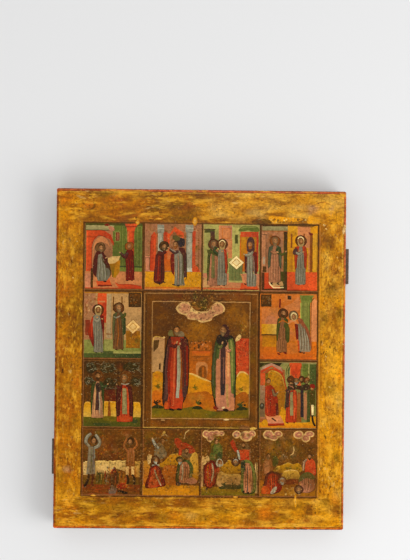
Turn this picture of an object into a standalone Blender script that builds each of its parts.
# Panel icon: a wooden board with a gesso painting ground on its face. Two tapered dovetail splines
# are let into the back from opposite sides and keep the board flat.
# It lies on its back in metres: +Z points out of the painted face and +Y to the top of the picture.
# The origin is under the middle of the board, on the surface that the splines rest on.

import bmesh
import bpy
from mathutils import Matrix

# Board and painting ground
BOARD_WIDTH = 0.304
BOARD_HEIGHT = 0.3555
BOARD_THICKNESS = 0.024
GROUND_THICKNESS = 0.002
CORNER_RADIUS = 0.002
FRONT_ARRIS = 0.0012
BACK_ARRIS = 0.0015
BURIED_ARRIS = 0.0002
ARRIS_SEGMENTS = 3

# Splines across the back, widest at the board's side where each one enters
SPLINE_HEAD_WIDTH = 0.033
SPLINE_TAIL_WIDTH = 0.027
SPLINE_DEPTH = 0.009
SPLINE_PROUD = 0.004
SPLINE_ARRIS = 0.0008
SPLINE_ARRIS_SEGMENTS = 2
DOVETAIL_SLOPE = 0.28
UPPER_OVERHANG = 0.0055
LOWER_OVERHANG = 0.0035
UPPER_SPLINE_FROM_TOP = 0.0785
LOWER_SPLINE_FROM_BOTTOM = 0.073

# The grooves stop short of the far side and leave a pocket past the spline's tail
GROOVE_END_WOOD = 0.03
GROOVE_POCKET = 0.003
FIT_GAP = 0.0003
CUTTER_REACH = 0.01

BACK_Z = SPLINE_PROUD
FRONT_Z = BACK_Z + BOARD_THICKNESS
SIDE_X = BOARD_WIDTH / 2
GROOVE_END_X = GROOVE_END_WOOD - SIDE_X
SPLINE_TAIL_X = GROOVE_END_X + GROOVE_POCKET

WOOD_BROWN = (0.19, 0.115, 0.062, 1.0)
SPLINE_BROWN = (0.105, 0.068, 0.045, 1.0)
OCHRE = (0.52, 0.25, 0.03, 1.0)


def clear_scene():
    for old in list(bpy.data.objects):
        bpy.data.objects.remove(old)


def new_collection(name):
    collection = bpy.data.collections.new(name)
    bpy.context.scene.collection.children.link(collection)
    return collection


def finish_material(name, colour, roughness):
    material = bpy.data.materials.new(name)
    material.use_nodes = True
    shader = material.node_tree.nodes["Principled BSDF"]
    shader.inputs["Base Color"].default_value = colour
    shader.inputs["Roughness"].default_value = roughness
    shader.inputs["Metallic"].default_value = 0.0
    return material


def object_from(name, shape, collection):
    mesh = bpy.data.meshes.new(name)
    shape.to_mesh(mesh)
    shape.free()
    piece = bpy.data.objects.new(name, mesh)
    collection.objects.link(piece)
    return piece


def edges_along_z(shape):
    return [e for e in shape.edges if abs(e.verts[0].co.z - e.verts[1].co.z) > abs(e.calc_length()) / 2]


def rim_edges(shape, z):
    # The outline of the flat face at height z
    return [e for e in shape.edges if all(abs(v.co.z - z) < 1e-6 for v in e.verts)]


def round_edges(shape, edges, radius):
    bmesh.ops.bevel(
        shape, geom=edges, offset=radius, segments=ARRIS_SEGMENTS, profile=0.5, affect="EDGES", clamp_overlap=True
    )


def rounded_slab(name, low_z, high_z, back_arris, front_arris, collection):
    # A plate of the board's outline, with rounded corners and its own rounding round each face
    shape = bmesh.new()
    bmesh.ops.create_cube(shape, size=1.0)
    for vertex in shape.verts:
        vertex.co.x *= BOARD_WIDTH
        vertex.co.y *= BOARD_HEIGHT
        vertex.co.z = high_z if vertex.co.z > 0 else low_z
    round_edges(shape, edges_along_z(shape), CORNER_RADIUS)
    round_edges(shape, rim_edges(shape, high_z), front_arris)
    round_edges(shape, rim_edges(shape, low_z), back_arris)
    return object_from(name, shape, collection)


def half_width_at(x, z, growth):
    # Half the dovetail's width: it tapers from the board's side to the tail and flares into the board
    share = (x - SPLINE_TAIL_X) / (SIDE_X - SPLINE_TAIL_X)
    width = SPLINE_TAIL_WIDTH + (SPLINE_HEAD_WIDTH - SPLINE_TAIL_WIDTH) * share
    return width / 2 + DOVETAIL_SLOPE * (z - BACK_Z) + growth


def dovetail_bar(name, tail_x, head_x, low_z, high_z, growth, collection):
    # A box pulled into a tapered dovetail, its head at +X
    shape = bmesh.new()
    bmesh.ops.create_cube(shape, size=1.0)
    for vertex in shape.verts:
        vertex.co.x = head_x if vertex.co.x > 0 else tail_x
        vertex.co.z = high_z if vertex.co.z > 0 else low_z
        side = 1 if vertex.co.y > 0 else -1
        vertex.co.y = side * half_width_at(vertex.co.x, vertex.co.z, growth)
    return object_from(name, shape, collection)


def spline(name, overhang, placement, collection):
    top_z = BACK_Z + SPLINE_DEPTH - FIT_GAP
    bar = dovetail_bar(name, SPLINE_TAIL_X, SIDE_X + overhang, 0.0, top_z, 0.0, collection)
    bevel = bar.modifiers.new("worn edges", "BEVEL")
    bevel.width = SPLINE_ARRIS
    bevel.segments = SPLINE_ARRIS_SEGMENTS
    bar.matrix_world = placement
    return bar


def groove_cutter(name, placement, collection):
    cutter = dovetail_bar(
        name,
        GROOVE_END_X,
        SIDE_X + CUTTER_REACH,
        BACK_Z - CUTTER_REACH,
        BACK_Z + SPLINE_DEPTH,
        FIT_GAP,
        collection,
    )
    cutter.matrix_world = placement
    cutter.hide_render = True
    cutter.display_type = "WIRE"
    return cutter


def cut_groove(board, cutter):
    cut = board.modifiers.new(cutter.name, "BOOLEAN")
    cut.operation = "DIFFERENCE"
    cut.object = cutter


def shade(piece, material):
    piece.data.materials.append(material)
    piece.data.shade_smooth()
    piece.data.set_sharp_from_angle(angle=0.6)


def build():
    clear_scene()
    parts = new_collection("panel icon")
    cutters = new_collection("cutters")

    # The upper spline enters from the right, and the lower one is turned to enter from the left
    upper_place = Matrix.Translation((0, BOARD_HEIGHT / 2 - UPPER_SPLINE_FROM_TOP, 0))
    half_turn = Matrix.Diagonal((-1, -1, 1, 1))
    lower_place = Matrix.Translation((0, LOWER_SPLINE_FROM_BOTTOM - BOARD_HEIGHT / 2, 0)) @ half_turn

    board = rounded_slab("icon_board", BACK_Z, FRONT_Z, BACK_ARRIS, BURIED_ARRIS, parts)
    for name, place in (("upper_groove", upper_place), ("lower_groove", lower_place)):
        cut_groove(board, groove_cutter(name, place, cutters))
    shade(board, finish_material("board wood", WOOD_BROWN, 0.7))

    ground_z = FRONT_Z + FIT_GAP
    ground = rounded_slab(
        "painted_ground", ground_z, ground_z + GROUND_THICKNESS, BURIED_ARRIS, FRONT_ARRIS, parts
    )
    shade(ground, finish_material("painted gesso", OCHRE, 0.45))

    spline_finish = finish_material("spline wood", SPLINE_BROWN, 0.75)
    shade(spline("upper_spline", UPPER_OVERHANG, upper_place, parts), spline_finish)
    shade(spline("lower_spline", LOWER_OVERHANG, lower_place, parts), spline_finish)


build()
